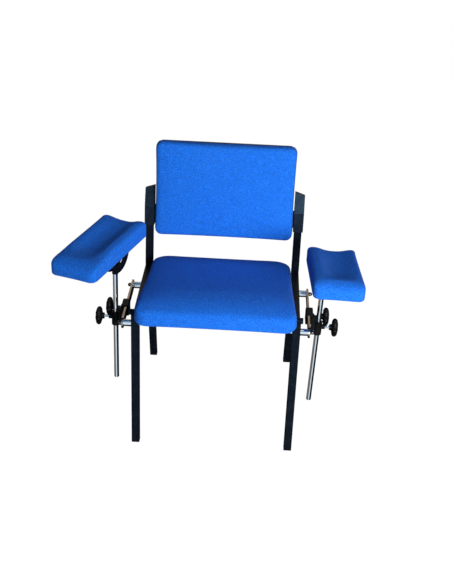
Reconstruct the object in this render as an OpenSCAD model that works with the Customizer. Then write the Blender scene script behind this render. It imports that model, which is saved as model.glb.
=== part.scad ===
// Phlebotomy chair: a square-tube chair with an upholstered seat and back, and on each side a flat
// rail that carries a sliding clamp, a round post and a tilting, gutter-shaped arm pad.
// Millimetres. +X is the right of the picture, +Y is the back, +Z is up, and the floor is z = 0.
// The origin is at the middle of the floor area that the whole chair covers.

/* [Frame] */
// Outer width of the square frame tube
tube = 25.4; // [20:0.1:30]
// Wall of the frame tubes
tube_wall = 1.5; // [1:0.1:2.5]
// Outer corner radius of the square tube
tube_corner = 3; // [2:0.5:5]
// Diameter of the round cross tube on top of the front legs
cross_tube_d = 19; // [16:1:25]
// Height of the cross tube's centre
cross_tube_z = 478; // [460:1:500]
// How far the cross tube sticks out past the legs
cross_tube_overhang = 6.2; // [3:0.1:12]
// Thickness of the rim of the cross tube's end plugs
plug_rim = 2; // [1:0.5:4]
// Height of the side rails' centre
side_rail_z = 439; // [420:1:445]
// Distance from the bend of the rear legs back to the rear feet
foot_back = 156; // [100:1:200]
// Distance from the seat's rear edge back to the bend of the rear legs
knee_back = 12; // [10:1:30]
// Height of the bend in the rear legs
knee_z = 458; // [455:1:470]
// Radius of the bend, on the tube's centre line
bend_radius = 60; // [50:1:100]
// Backward lean of the uprights, in degrees
recline = 4.3; // [0:0.1:10]
// Height of the uprights' upper ends
upright_top_z = 661; // [640:1:680]
// Distance from the seat's rear edge forward to the rail under it
seat_rail_inset = 38; // [30:1:60]
// Thickness of the plastic glides under the legs
glide_h = 3; // [2:0.5:6]
// Depth of the glides' plugs in the tubes
glide_plug = 18; // [10:1:30]

/* [Seat] */
// Width of the seat cushion at its widest
seat_front_w = 500; // [480:1:504]
// Width of the seat cushion at the back
seat_rear_w = 466; // [440:1:470]
// Depth of the seat cushion
seat_depth = 476; // [440:1:480]
// How far the cushion reaches forward of the front legs
seat_front = 93; // [80:1:110]
// Thickness of the seat, from the board's underside to the cushion's top edge
seat_h = 48; // [40:1:60]
// Crown of the seat cushion
seat_crown = 8; // [2:1:14]
// Drop of the seat cushion's rounded front edge
seat_fall = 22; // [10:1:30]
// Thickness of the seat board
seat_board_t = 12; // [9:1:15]
// Radius of the seat cushion's front corners
seat_corner = 42; // [35:1:60]
// Radius of the seat cushion's rear corners
seat_rear_corner = 60; // [45:1:75]

/* [Back] */
// Width of the back cushion, which also sets the legs' distance
back_w = 462; // [420:1:500]
// Height of the back cushion
back_h = 323; // [300:1:340]
// Height of the back cushion's lower edge, along the uprights from the side rails
back_rise = 127.5; // [120:0.5:150]
// Thickness of the back, from the board's rear skirt to the cushion's front edge
back_t = 40; // [34:1:50]
// Crown of the back cushion
back_crown = 7; // [2:1:12]
// Corner radius of the back cushion
back_corner = 24; // [16:1:40]
// Thickness of the back board
back_board_t = 9; // [6:1:12]
// Wall of the plastic sleeves on the uprights
sleeve_wall = 3.5; // [2:0.1:4]
// Length of the sleeves' straight part
sleeve_straight = 65; // [50:1:80]
// Length of the sleeves' tapered top
sleeve_taper = 68; // [50:1:80]
// Depth of the rear cover
cover_depth = 10; // [9:1:16]
// Wall of the rear cover
cover_wall = 2.5; // [2:0.1:4]

/* [Rails] */
// Height of the flat rail bars
bar_h = 35; // [30:1:38]
// Thickness of the flat rail bars
bar_t = 6; // [4:0.5:8]
// Distance between the two spacers of a bar
bar_span = 254; // [230:1:280]
// Length of the spacers between frame and bar
spacer_l = 23.5; // [20:0.5:30]
// Diameter of the spacers
spacer_d = 22; // [18:1:25]
// Diameter of the bolts through the spacers
bolt_d = 8; // [6:1:8]

/* [Clamps] */
// Distance from the front legs to the left post
left_place = 76; // [40:1:180]
// Distance from the front legs to the right post
right_place = 82; // [40:1:180]
// Distance from the bar's middle plane to the post
post_out = 32; // [30:1:40]
// Outer diameter of the post's socket
socket_d = 26; // [24:1:28]
// Length of the post's socket
socket_l = 45; // [35:1:55]
// Top of the socket, below the bar's centre
socket_drop = 4; // [2:1:8]
// Length of the jaw along the bar
jaw_l = 44; // [44:1:64]
// How far the jaw reaches forward of the post
jaw_front = 2; // [1:1:2]
// Thickness of the inner jaw
inner_jaw_t = 5.6; // [4:0.1:8]
// Thickness of the outer jaw
outer_jaw_t = 11; // [9:0.5:12]
// Diameter of the lobed knobs
knob_d = 58; // [50:1:60]
// Thickness of the lobed knobs
knob_t = 18; // [14:1:20]
// Number of lobes on a knob
knob_lobes = 6; // [5:1:7]
// Diameter of the clamping screws
screw_d = 8; // [6:1:8]

/* [Posts] */
// Diameter of the posts
post_d = 16; // [14:0.5:18]
// Length of a post below its head
post_l = 375; // [300:1:420]
// Height of the left post's lock bolt
left_height = 602; // [510:1:750]
// Height of the right post's lock bolt
right_height = 550; // [510:1:750]
// Outward lean of the left post in its socket, in degrees
left_lean = 0; // [-1:0.1:3]
// Outward lean of the right post in its socket, in degrees
right_lean = 2; // [-1:0.1:3]

/* [Arm pads] */
// Length of an arm pad
pad_l = 350; // [300:1:400]
// Width of an arm pad
pad_w = 158; // [130:1:165]
// Thickness of an arm pad at its ridges, with its board
pad_t = 46; // [40:1:60]
// Depth of the gutter where the arm lies
pad_dip = 13; // [6:1:20]
// Corner radius of an arm pad
pad_corner = 24; // [15:1:40]
// Thickness of the board under an arm pad
pad_board_t = 10; // [8:1:12]
// Distance from the post forward to the pad's middle
pad_forward = 43; // [20:1:60]
// Distance from the post outward to the pad's middle
pad_out = 26.5; // [0:0.5:30]
// Outward swivel of the left pad, in degrees
left_swivel = 20; // [-80:1:80]
// Outward swivel of the right pad, in degrees
right_swivel = 1.5; // [-80:0.5:80]
// Front-up tilt of the left pad, in degrees
left_tilt = -2.5; // [-25:0.5:25]
// Front-up tilt of the right pad, in degrees
right_tilt = 7; // [-25:1:25]
// Radius of the tilt bracket's half-round side plates
plate_r = 61; // [56:1:66]
// Thickness of the tilt bracket's sheet
plate_t = 3; // [2:0.5:4]
// Height of the tilt pivot above the lock bolt
pivot_up = 32; // [30:1:36]
// Thickness of the tilt head between the side plates
head_t = 20; // [18:1:24]

/* [Hidden] */
$fn = 64;

// Sides: each side's parts are drawn with x pointing outward, and the left side is their mirror image
left = -1;
right = 1;

// Clearances
cut = 1;              // overrun of every cut past the face that it leaves
run_gap = 0.05;       // radial clearance of a turning or sliding fit
bolt_gap = 0.25;      // radial clearance of a bolt in its hole
jaw_gap = 0.4;        // clearance of the jaw around the bar
sleeve_gap = 0.2;     // clearance of a sleeve around its upright
plug_gap = 0.1;       // clearance of a plug in its tube
pocket_gap = 0.4;     // clearance of a cushion around its board
back_gap = 0.6;       // clearance between the back's sides and the sleeves
side_gap = 0.5;       // clearance between the tilt head and the side plates
tip_gap = 0.1;        // distance from a screw's tip to what it presses on

// Frame, worked out
sleeve_w = tube + 2 * (sleeve_gap + sleeve_wall);
leg_gauge = back_w + 2 * back_gap + sleeve_w;
seat_rear_y = seat_depth - seat_front;
seat_rail_y = seat_rear_y - seat_rail_inset;
knee_y = seat_rear_y + knee_back;
foot_y = knee_y + foot_back;
rail_x = leg_gauge / 2 + tube / 2 + spacer_l + bar_t / 2;
leg_rake = atan((foot_y - knee_y) / knee_z);
seat_tilt = atan((cross_tube_z + cross_tube_d / 2 - side_rail_z - tube / 2) / seat_rail_y);
upright_share = 0.5;  // how much of the bend's turn lies on each side of the knee

// Seat board and cushion, in the seat's own tilted plane
seat_inset = 11;              // from the cushion's outline in to the board's
seat_board_front = 45;        // from the front legs forward to the board's edge
seat_fall_start = 25;         // from the front legs back to where the fall begins
seat_soft = 15;               // rounding of the cushion's upper edge
seat_draw = 5;                // how far the sides draw in between the corners
seat_lift = 1.5;              // gap under the cushion's skirt
seat_bolt_d = 6;
seat_bolt_head_d = 12;
seat_bolt_head_h = 3.5;
seat_bolt_x = 170;
seat_bolt_bite = 9;           // how far the seat bolts reach into the board

// Back, in the plane of the uprights: the board's rear face lies at the uprights' middle plane
back_inset = 9;
back_soft = 13;
back_draw = 2.5;
board_back = 2;               // from the uprights' middle plane back to the board's rear face
ear_t = 4;                    // thickness of the sleeves' ears behind the board
ear_reach = 46;
ear_h = 60;
ear_rise = 8;                 // from the sleeve's lower end up to the ear
ear_screw_in = 14;            // from the ear's end out to the nearer screw
ear_screw_pitch = 30;
wood_screw_d = 4;
wood_screw_head_d = 8;
wood_screw_head_h = 2.4;
wood_screw_bite = 7;
cover_inset = 6;
cover_corner = 20;
cover_notch_gap = 1;
cover_boss_d = 12;
cover_screw_x = 150;
cover_screw_z = 118;
sleeve_tip = 12;              // depth of the sleeve at its top
sleeve_slope = 11;            // how much lower the sleeve's outer edge is

// Rails
bar_hole_d = bolt_d + 2 * bolt_gap;
washer_d = 16;
washer_t = 1.5;
nut_d = 14;
nut_h = 6;
dome_d = 12.5;
bolt_head_h = 5;

// Clamp: its origin is the bar's centre, at the post's place
jaw_top = 20.5;               // from the bar's centre up to the jaw's top
jaw_bottom = 17;
jaw_round = 4;
link_w = 16;
link_top = 10;                // from the bar's centre up to the link's top
rail_knob_back = 34;          // from the post back to the rail knob
rail_knob_drop = 5;           // from the bar's centre down to the rail knob
boss_d = 16;
rail_boss_l = 5;
post_boss_l = 9;
post_knob_drop = 22;
hub_d = 20;
hub_l = 6;
rail_stem = 20;               // bare screw between the rail knob's boss and its hub
post_stem = 14;
knob_lobe_share = 0.31;       // lobe radius, of the knob's radius
knob_turn_share = 0.5;        // how far the first lobe is turned, of the lobes' spacing
knob_crown = 3;
knob_crown_d = 30;
screw_bite = 12;              // how far a screw reaches into its knob

// Post and tilt head: heights are above the lock bolt
collar_bottom = 33;           // from the lock bolt down to the collar's lower face
collar_h = 14;
spigot_d = 12;
spigot_l = 24;
spigot_pocket = 1;            // free depth above the spigot
post_chamfer = 1;
head_w = 24;
head_top_d = 22;
slot_reach = 42;              // angle that the slot covers on each side of the pad's level place
index_r = 45;
index_d = 3.5;
index_step = 7.5;
index_last = 30;
pad_seat = 16;                // from the pivot up to the pad board's underside
plate_w = 62;
plate_back = 7;               // from the pivot back to the middle of the half-round plates
pivot_head_d = 13;
pivot_head_h = 5;
pad_screw_x = 23;
pad_screw_y = 52;
pad_screw_head_d = 9;
pad_screw_head_h = 2.5;
pad_screw_d = 4.5;
pad_screw_bite = 7;
pad_inset = 7;
pad_soft = 13;
pad_draw = 3;
pad_crown = 2;
pad_ridge = 3;                // how much the ridges rise beside the gutter
gutter_share = 0.8;           // half-width of the gutter, of the pad's half-width
gutter_start = 35;            // from the pad's front end back to where the gutter begins
gutter_run = 110;             // length over which the gutter deepens
skirt_soft = 5;               // rounding of a cushion's lower edge
skirt_lift = 0.5;             // gap under an arm pad's skirt

// Where the floor area's middle lies, in the frame's own coordinates
function reach_x(swivel) = post_out + pad_out * cos(swivel) + abs(pad_forward * sin(swivel))
    + cos(swivel) * (pad_w / 2 - pad_corner) + abs(sin(swivel)) * (pad_l / 2 - pad_corner) + pad_corner;
function reach_y(swivel, place) = place - pad_forward * cos(swivel)
    - abs(sin(swivel)) * (pad_w / 2 - pad_corner) - cos(swivel) * (pad_l / 2 - pad_corner) - pad_corner;
origin_x = (reach_x(right_swivel) - reach_x(left_swivel)) / 2;
front_y = min(reach_y(left_swivel, left_place), reach_y(right_swivel, right_place));
origin_y = (front_y + foot_y + tube / 2) / 2;

// Cushion shape
arc_n = 4;
side_n = 7;
edge_n = 4;
skirt_n = 2;
inner_shares = [0.86, 0.66, 0.42, 0.18];
least_corner_share = 0.14;    // smallest corner radius of a form's inner outlines, of its outer one
ring_n = 4 * (arc_n + side_n);

// One corner of an outline and the side after it: radii holds the rear corners' radius and the front's
function quarter(j, a, b, radii) =
    let (sx = (j == 0 || j == 3) ? 1 : -1, sy = j < 2 ? 1 : -1,
         nx = (j == 3 || j == 2) ? 1 : -1, ny = (j == 0 || j == 3) ? 1 : -1,
         r = radii[j < 2 ? 0 : 1], next_r = radii[ny > 0 ? 0 : 1],
         c = [sx * (a - r), sy * (b - r)], d = [nx * (a - next_r), ny * (b - next_r)],
         from = c + r * [cos(90 * j + 90), sin(90 * j + 90)],
         to = d + next_r * [cos(90 * j + 90), sin(90 * j + 90)])
    concat([for (i = [0:arc_n]) c + r * [cos(90 * (j + i / arc_n)), sin(90 * (j + i / arc_n))]],
           [for (i = [1:side_n - 1]) from + (to - from) * i / side_n]);
function outline(a, b, radii) = [for (j = [0:3]) each quarter(j, a, b, radii)];
function smooth(t) = (1 - cos(180 * min(max(t, 0), 1))) / 2;

// A crowned cushion that stands on z = 0: its front is at -y. The sides draw in between the corners,
// a gutter between two ridges may run along y from the rear, the front may fall, and the width may
// taper to the rear.
module cushion_form(w, d, h, corners, soft, low, crown, draw, taper = 0, dip = 0, ridge = 0, fall = 0,
        fall_from = 0) {
    a = w / 2;
    b = d / 2;
    skirt = [
        for (i = [0:skirt_n])
            [low * (1 - sin(90 * i / skirt_n)), low * (1 - cos(90 * i / skirt_n)), 1]
    ];
    edge = [
        for (i = [0:edge_n])
            [soft * (1 - cos(90 * i / edge_n)), h - soft * (1 - sin(90 * i / edge_n)), 1]
    ];
    inner = [for (s = inner_shares) [soft, h, s]];
    rings = concat(skirt, edge, inner);
    function height(x, y) = h + crown * (1 - pow(x / a, 2)) * (1 - pow(y / b, 2))
        + (ridge - dip * (1 - smooth(abs(x) / (a * gutter_share))))
            * smooth((y + b - gutter_start) / gutter_run);
    function lower(y) = fall * pow(max(fall_from - y, 0) / (fall_from + b), 2);
    function place(p, q) =
        let (x = p[0] * (1 - draw / a * (1 - pow(p[1] / b, 2))),
             y = p[1] * (1 - draw / b * (1 - pow(p[0] / a, 2))))
        [x * (1 - taper * y / b), y, q[1] / h * height(x, y) - lower(y)];
    points = concat(
        [for (q = rings) let (radii = [for (r = corners) max(r - q[0], r * least_corner_share)])
            each [for (p = outline(a - q[0], b - q[0], radii)) place(p * q[2], q)]],
        [place([0, 0], [soft, h, 1]), place([0, 0], [low, 0, 1])]);
    top = len(rings) * ring_n;
    faces = concat(
        [for (k = [0:len(rings) - 2]) for (i = [0:ring_n - 1]) let (n = (i + 1) % ring_n)
            each [[k * ring_n + i, (k + 1) * ring_n + i, (k + 1) * ring_n + n],
                  [k * ring_n + i, (k + 1) * ring_n + n, k * ring_n + n]]],
        [for (i = [0:ring_n - 1]) [top - ring_n + i, top, top - ring_n + (i + 1) % ring_n]],
        [for (i = [0:ring_n - 1]) [i, (i + 1) % ring_n, top + 1]]);
    polyhedron(points, faces, convexity = 4);
}

// Flat shapes
module rounded_rect(w, d, r) {
    square([w - 2 * r, d], center = true);
    square([w, d - 2 * r], center = true);
    for (x = [-1, 1], y = [-1, 1])
        translate([x * (w / 2 - r), y * (d / 2 - r)])
            circle(r);
}
module tube_outline(grow = 0) {
    rounded_rect(tube + 2 * grow, tube + 2 * grow, tube_corner + grow);
}
module tube_hole() {
    bore = tube - 2 * tube_wall;
    rounded_rect(bore, bore, tube_corner - tube_wall);
}
module tapered_plate(front_w, rear_w, d, front_r, rear_r) {
    hull()
        for (x = [-1, 1]) {
            translate([x * (front_w / 2 - front_r), -d / 2 + front_r])
                circle(front_r, $fn = 32);
            translate([x * (rear_w / 2 - rear_r), d / 2 - rear_r])
                circle(rear_r, $fn = 32);
        }
}

// Places
module at_side(side, x = 0) {
    mirror([side < 0 ? 1 : 0, 0, 0])
        translate([x, 0, 0])
            children();
}
module at_legs(side) {
    at_side(side, leg_gauge / 2)
        children();
}
module in_seat() {
    translate([0, 0, cross_tube_z])
        rotate([-seat_tilt, 0, 0])
            translate([0, 0, cross_tube_d / 2])
                children();
}
// The uprights' plane: x across, y to the back, z up along them, from the side rails' height
module in_back() {
    translate([0, knee_y, knee_z])
        rotate([-recline, 0, 0])
            translate([0, 0, side_rail_z - knee_z])
                children();
}
module in_clamp(side) {
    at_side(side, rail_x)
        translate([0, side < 0 ? left_place : right_place, side_rail_z])
            children();
}
module in_post(side) {
    in_clamp(side)
        translate([post_out, 0, 0])
            rotate([0, side < 0 ? left_lean : right_lean, 0])
                children();
}
// At the lock bolt: x along the bolts, and the pad's front towards -y
module in_head(side) {
    in_post(side)
        translate([0, 0, (side < 0 ? left_height : right_height) - side_rail_z])
            rotate([0, 0, side < 0 ? left_swivel : right_swivel])
                children();
}
// At the tilt pivot, level with the pad
module in_pad(side) {
    in_head(side)
        translate([0, 0, pivot_up])
            rotate([side < 0 ? -left_tilt : -right_tilt, 0, 0])
                children();
}
module in_pad_middle(side) {
    in_pad(side)
        translate([pad_out, -pad_forward, pad_seat])
            children();
}
module seat_bolt_places() {
    for (x = [-1, 1], y = [0, seat_rail_y])
        translate([x * seat_bolt_x, y / cos(seat_tilt), 0])
            children();
}
module rail_bolt_places() {
    for (y = [0, bar_span])
        translate([0, y, side_rail_z])
            rotate([0, 90, 0])
                children();
}
module pad_screw_places() {
    for (x = [-1, 1], y = [-1, 1])
        translate([x * pad_screw_x, plate_back + y * pad_screw_y, 0])
            children();
}
module ear_screw_places() {
    for (z = [-1, 1])
        translate([sleeve_in - ear_reach + ear_screw_in, 0,
                sleeve_rise + ear_rise + (ear_h + z * ear_screw_pitch) / 2])
            rotate([90, 0, 0])
                children();
}
module cover_screw_places() {
    for (x = [-1, 1], z = [-1, 1])
        translate([x * cover_screw_x, 0, back_rise + back_h / 2 + z * cover_screw_z])
            rotate([90, 0, 0])
                children();
}
sleeve_in = leg_gauge / 2 - sleeve_w / 2;
upright_top = (upright_top_z - knee_z) / cos(recline) + knee_z - side_rail_z;
sleeve_rise = upright_top + sleeve_gap - sleeve_straight;

// Frame pieces
module front_leg(side) {
    color("#15181f")
        difference() {
            at_legs(side)
                translate([0, 0, glide_h])
                    linear_extrude(cross_tube_z - glide_h)
                        difference() {
                            tube_outline();
                            tube_hole();
                        }
            cross_tube_solid(cross_tube_d / 2);
            rail_bolt_hole(side);
        }
}
module cross_tube_solid(r) {
    length = leg_gauge + tube + 2 * cross_tube_overhang - 2 * plug_rim;
    translate([-length / 2, 0, cross_tube_z])
        rotate([0, 90, 0])
            cylinder(h = length, r = r);
}
module rail_bolt_hole(side) {
    at_legs(side)
        translate([-tube / 2 - cut, 0, 0])
            rail_bolt_places()
                cylinder(h = tube + 2 * cut, d = bar_hole_d);
}
// The rear leg's outline swept up from the floor, round the bend and up to the sleeve's cap
module rear_leg_sweep(side, low, high) {
    turn = leg_rake + recline;
    straight = bend_radius * tan(turn * upright_share);
    leg_length = knee_z / cos(leg_rake) - straight;
    top_length = (high - knee_z) / cos(recline) - straight;
    at_legs(side)
        translate([0, knee_y, knee_z]) {
            rotate([leg_rake, 0, 0])
                translate([0, 0, -straight - leg_length - low])
                    linear_extrude(leg_length + low)
                        children();
            rotate([-recline, 0, 0])
                translate([0, 0, straight])
                    linear_extrude(top_length)
                        children();
            rotate([leg_rake, 0, 0])
                translate([0, bend_radius, -straight])
                    rotate([0, -90, 0])
                        rotate([0, 0, -90])
                            rotate_extrude(angle = turn)
                                translate([bend_radius, 0])
                                    children();
        }
}
module rear_leg(side) {
    color("#15181f")
        difference() {
            rear_leg_sweep(side, tube, upright_top_z)
                difference() {
                    tube_outline();
                    tube_hole();
                }
            floor_cut(glide_h);
        }
}
module floor_cut(height) {
    translate([-leg_gauge, -foot_y, height - foot_y])
        cube([2 * leg_gauge, 3 * foot_y, foot_y]);
}
module side_rail(side) {
    color("#15181f")
        difference() {
            at_legs(side)
                translate([0, tube / 2, side_rail_z])
                    rotate([-90, 0, 0])
                        linear_extrude(knee_y - tube / 2)
                            difference() {
                                tube_outline();
                                tube_hole();
                            }
            behind_leg();
            rail_bolt_hole(side);
        }
}
// What a side rail would leave behind the rear leg's front face
module behind_leg() {
    translate([-leg_gauge, knee_y, knee_z])
        rotate([leg_rake, 0, 0])
            translate([0, -tube / 2, -knee_z])
                cube([2 * leg_gauge, foot_y, 2 * knee_z]);
}
module cross_tube() {
    color("#15181f")
        difference() {
            cross_tube_solid(cross_tube_d / 2);
            cross_tube_bore();
            in_seat()
                seat_bolt_holes(cross_tube_d);
        }
}
module cross_tube_bore() {
    length = leg_gauge + tube + 2 * cross_tube_overhang;
    translate([-length / 2, 0, cross_tube_z])
        rotate([0, 90, 0])
            cylinder(h = length, r = cross_tube_d / 2 - tube_wall);
}
module seat_bolt_holes(depth) {
    seat_bolt_places()
        translate([0, 0, -depth - cut])
            cylinder(h = depth + 2 * cut, d = seat_bolt_d + 2 * bolt_gap);
}
module cross_tube_plugs() {
    end = leg_gauge / 2 + tube / 2 + cross_tube_overhang;
    color("#101216")
        for (side = [left, right])
            at_side(side, end)
                translate([0, 0, cross_tube_z])
                    rotate([0, -90, 0]) {
                        cylinder(h = plug_rim, d = cross_tube_d);
                        cylinder(h = glide_plug, r = cross_tube_d / 2 - tube_wall - plug_gap);
                    }
}
module seat_rail() {
    length = leg_gauge - tube;
    color("#15181f")
        in_seat()
            difference() {
                translate([-length / 2, seat_rail_y / cos(seat_tilt), -tube / 2])
                    rotate([90, 0, 90])
                        linear_extrude(length)
                            difference() {
                                tube_outline();
                                tube_hole();
                            }
                seat_bolt_holes(tube);
            }
}
module glide_plug_outline() {
    bore = tube - 2 * tube_wall - 2 * plug_gap;
    rounded_rect(bore, bore, tube_corner - tube_wall);
}
module front_glides() {
    color("#101216")
        for (side = [left, right])
            at_legs(side) {
                linear_extrude(glide_h)
                    tube_outline();
                linear_extrude(glide_h + glide_plug)
                    glide_plug_outline();
            }
}
module rear_glides() {
    color("#101216")
        for (side = [left, right]) {
            intersection() {
                rear_leg_sweep(side, tube, upright_top_z)
                    tube_outline();
                translate([-leg_gauge, 0, 0])
                    cube([2 * leg_gauge, 2 * foot_y, glide_h]);
            }
            intersection() {
                rear_leg_sweep(side, tube, upright_top_z)
                    glide_plug_outline();
                translate([-leg_gauge, 0, 0])
                    cube([2 * leg_gauge, 2 * foot_y, glide_h + glide_plug]);
            }
        }
}

// Seat
seat_middle = seat_depth / 2 - seat_front;
seat_taper = (seat_front_w - seat_rear_w) / (seat_front_w + seat_rear_w);
seat_mid_w = (seat_front_w + seat_rear_w) / 2;
module seat_board_outline(grow = 0) {
    board_d = seat_depth - seat_front + seat_board_front - seat_inset;
    less = seat_inset - grow;
    translate([0, board_d / 2 - seat_board_front])
        tapered_plate(seat_front_w - 2 * less, seat_rear_w - 2 * less, board_d + 2 * grow,
            seat_corner - less, seat_rear_corner - less);
}
module seat_board() {
    color("#8a6a45")
        in_seat()
            difference() {
                linear_extrude(seat_board_t)
                    seat_board_outline();
                seat_bolt_places()
                    translate([0, 0, -cut])
                        cylinder(h = seat_bolt_bite + cut + bolt_gap, d = seat_bolt_d + 2 * bolt_gap);
            }
}
module seat_cushion() {
    color("#1f6fe0")
        in_seat()
            difference() {
                translate([0, seat_middle, seat_lift])
                    cushion_form(seat_mid_w, seat_depth, seat_h - seat_lift, [seat_rear_corner, seat_corner],
                        seat_soft, skirt_soft, seat_crown, seat_draw, taper = seat_taper, fall = seat_fall,
                        fall_from = seat_fall_start - seat_middle);
                translate([0, 0, -seat_h])
                    linear_extrude(seat_h + seat_board_t)
                        seat_board_outline(pocket_gap);
            }
}
module seat_bolts() {
    color("#b9bec4")
        in_seat()
            for (x = [-1, 1], row = [[0, cross_tube_d], [seat_rail_y, tube]])
                translate([x * seat_bolt_x, row[0] / cos(seat_tilt), 0]) {
                    translate([0, 0, -row[1] - seat_bolt_head_h])
                        cylinder(h = seat_bolt_head_h, d = seat_bolt_head_d);
                    translate([0, 0, -row[1]])
                        cylinder(h = row[1] + seat_bolt_bite, d = seat_bolt_d);
                }
}

// Back: in the uprights' plane, the cushion's form lies on its rear and faces -y
back_middle = back_rise + back_h / 2;
module back_board_outline(grow = 0) {
    less = back_inset - grow;
    rounded_rect(back_w - 2 * less, back_h - 2 * less, back_corner - less);
}
// Turned so that a flat outline stands in the back's plane and is extruded forward
module on_back(y) {
    translate([0, y, back_middle])
        rotate([90, 0, 0])
            children();
}
module back_board() {
    color("#8a6a45")
        in_back()
            difference() {
                on_back(board_back)
                    linear_extrude(back_board_t)
                        back_board_outline();
                for (side = [left, right])
                    at_side(side)
                        ear_screw_places()
                            translate([0, 0, -board_back - cut])
                                cylinder(h = wood_screw_bite + cut + bolt_gap, d = wood_screw_d + run_gap);
                cover_screw_places()
                    translate([0, 0, -board_back - cut])
                        cylinder(h = wood_screw_bite + cut + bolt_gap, d = wood_screw_d + run_gap);
            }
}
module back_cushion() {
    color("#1f6fe0")
        in_back()
            difference() {
                on_back(board_back)
                    cushion_form(back_w, back_h, back_t + board_back, [back_corner, back_corner], back_soft,
                        skirt_soft, back_crown, back_draw);
                on_back(board_back + cut)
                    linear_extrude(back_board_t + cut)
                        back_board_outline(pocket_gap);
            }
}
// A dished shell behind the board: its rim stands on the board, with a notch for each sleeve's ear
module back_cover() {
    outer_w = back_w - 2 * cover_inset;
    outer_h = back_h - 2 * cover_inset;
    color("#14161a")
        in_back()
            difference() {
                union() {
                    difference() {
                        on_back(board_back + cover_depth)
                            linear_extrude(cover_depth)
                                rounded_rect(outer_w, outer_h, cover_corner);
                        on_back(board_back + cover_depth - cover_wall)
                            linear_extrude(cover_depth)
                                rounded_rect(outer_w - 2 * cover_wall, outer_h - 2 * cover_wall,
                                    cover_corner - cover_wall);
                    }
                    cover_screw_places()
                        translate([0, 0, -board_back - cover_depth + cover_wall / 2])
                            cylinder(h = cover_depth - cover_wall / 2, d = cover_boss_d);
                }
                cover_screw_places()
                    translate([0, 0, -board_back - cover_depth - cut])
                        cylinder(h = cover_depth + 2 * cut, d = wood_screw_d + 2 * bolt_gap);
                for (side = [left, right])
                    at_side(side)
                        translate([outer_w / 2 - 2 * cover_wall, board_back - cut,
                                sleeve_rise + ear_rise - cover_notch_gap])
                            cube([4 * cover_wall, ear_t + cover_notch_gap + cut,
                                ear_h + 2 * cover_notch_gap]);
            }
}
module wood_screw(under) {
    translate([0, 0, -board_back - under - wood_screw_head_h])
        cylinder(h = wood_screw_head_h, d = wood_screw_head_d);
    translate([0, 0, -board_back - under])
        cylinder(h = under + wood_screw_bite, d = wood_screw_d);
}
module back_screws() {
    color("#b9bec4")
        in_back()
            for (side = [left, right])
                at_side(side)
                    ear_screw_places()
                        wood_screw(ear_t);
}
module cover_screws() {
    color("#2a2c30")
        in_back()
            cover_screw_places()
                wood_screw(cover_depth);
}
// A plastic sleeve over the upright's end: straight below, tapered above, with an ear behind the board
module back_sleeve(side) {
    half = sleeve_w / 2;
    top_rise = sleeve_straight + sleeve_taper;
    color("#191d25")
        in_back()
            at_side(side)
                difference() {
                    union() {
                        translate([sleeve_in, 0, sleeve_rise])
                            rotate([90, 0, 90])
                                linear_extrude(sleeve_w)
                                    polygon([[-half, 0], [half, 0], [half, top_rise],
                                        [half - sleeve_tip, top_rise], [-half, sleeve_straight]]);
                        translate([sleeve_in - ear_reach, board_back, sleeve_rise + ear_rise])
                            cube([ear_reach + sleeve_wall, ear_t, ear_h]);
                    }
                    translate([leg_gauge / 2, 0, sleeve_rise - cut])
                        linear_extrude(sleeve_straight + cut)
                            tube_outline(sleeve_gap);
                    translate([sleeve_in, -sleeve_w, sleeve_rise + top_rise])
                        rotate([0, atan(sleeve_slope / sleeve_w), 0])
                            translate([-sleeve_w, 0, 0])
                                cube([3 * sleeve_w, 2 * sleeve_w, sleeve_w]);
                    ear_screw_places()
                        translate([0, 0, -board_back - ear_t - cut])
                            cylinder(h = ear_t + 2 * cut, d = wood_screw_d + 2 * bolt_gap);
                }
}

// Rails
module rail_bar(side) {
    color("#c9ced3")
        at_side(side, rail_x - bar_t / 2)
            translate([0, 0, side_rail_z])
                rotate([90, 0, 90])
                    linear_extrude(bar_t)
                        difference() {
                            union() {
                                translate([0, -bar_h / 2])
                                    square([bar_span, bar_h]);
                                for (y = [0, bar_span])
                                    translate([y, 0])
                                        circle(d = bar_h);
                            }
                            for (y = [0, bar_span])
                                translate([y, 0])
                                    circle(d = bar_hole_d);
                        }
}
module rail_spacers(side) {
    color("#c9ced3")
        at_side(side, leg_gauge / 2 + tube / 2)
            rail_bolt_places()
                difference() {
                    cylinder(h = spacer_l, d = spacer_d);
                    translate([0, 0, -cut])
                        cylinder(h = spacer_l + 2 * cut, d = bar_hole_d);
                }
}
module rail_bolts(side) {
    inside = leg_gauge / 2 - tube / 2;
    color("#c9ced3")
        at_side(side, inside)
            rail_bolt_places() {
                translate([0, 0, -bolt_head_h])
                    cylinder(h = bolt_head_h, d = nut_d, $fn = 6);
                cylinder(h = tube + spacer_l + bar_t + washer_t + nut_h, d = bolt_d);
            }
}
// Domed nuts, each with its washer
module rail_nuts(side) {
    color("#c9ced3")
        at_side(side, rail_x + bar_t / 2)
            rail_bolt_places()
                difference() {
                    union() {
                        cylinder(h = washer_t, d = washer_d);
                        cylinder(h = washer_t + nut_h, d = nut_d, $fn = 6);
                        translate([0, 0, washer_t + nut_h])
                            intersection() {
                                sphere(d = dome_d);
                                cylinder(h = dome_d, d = dome_d);
                            }
                    }
                    translate([0, 0, -cut])
                        cylinder(h = washer_t + nut_h + cut, d = bolt_d + 2 * run_gap);
                }
}

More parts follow.
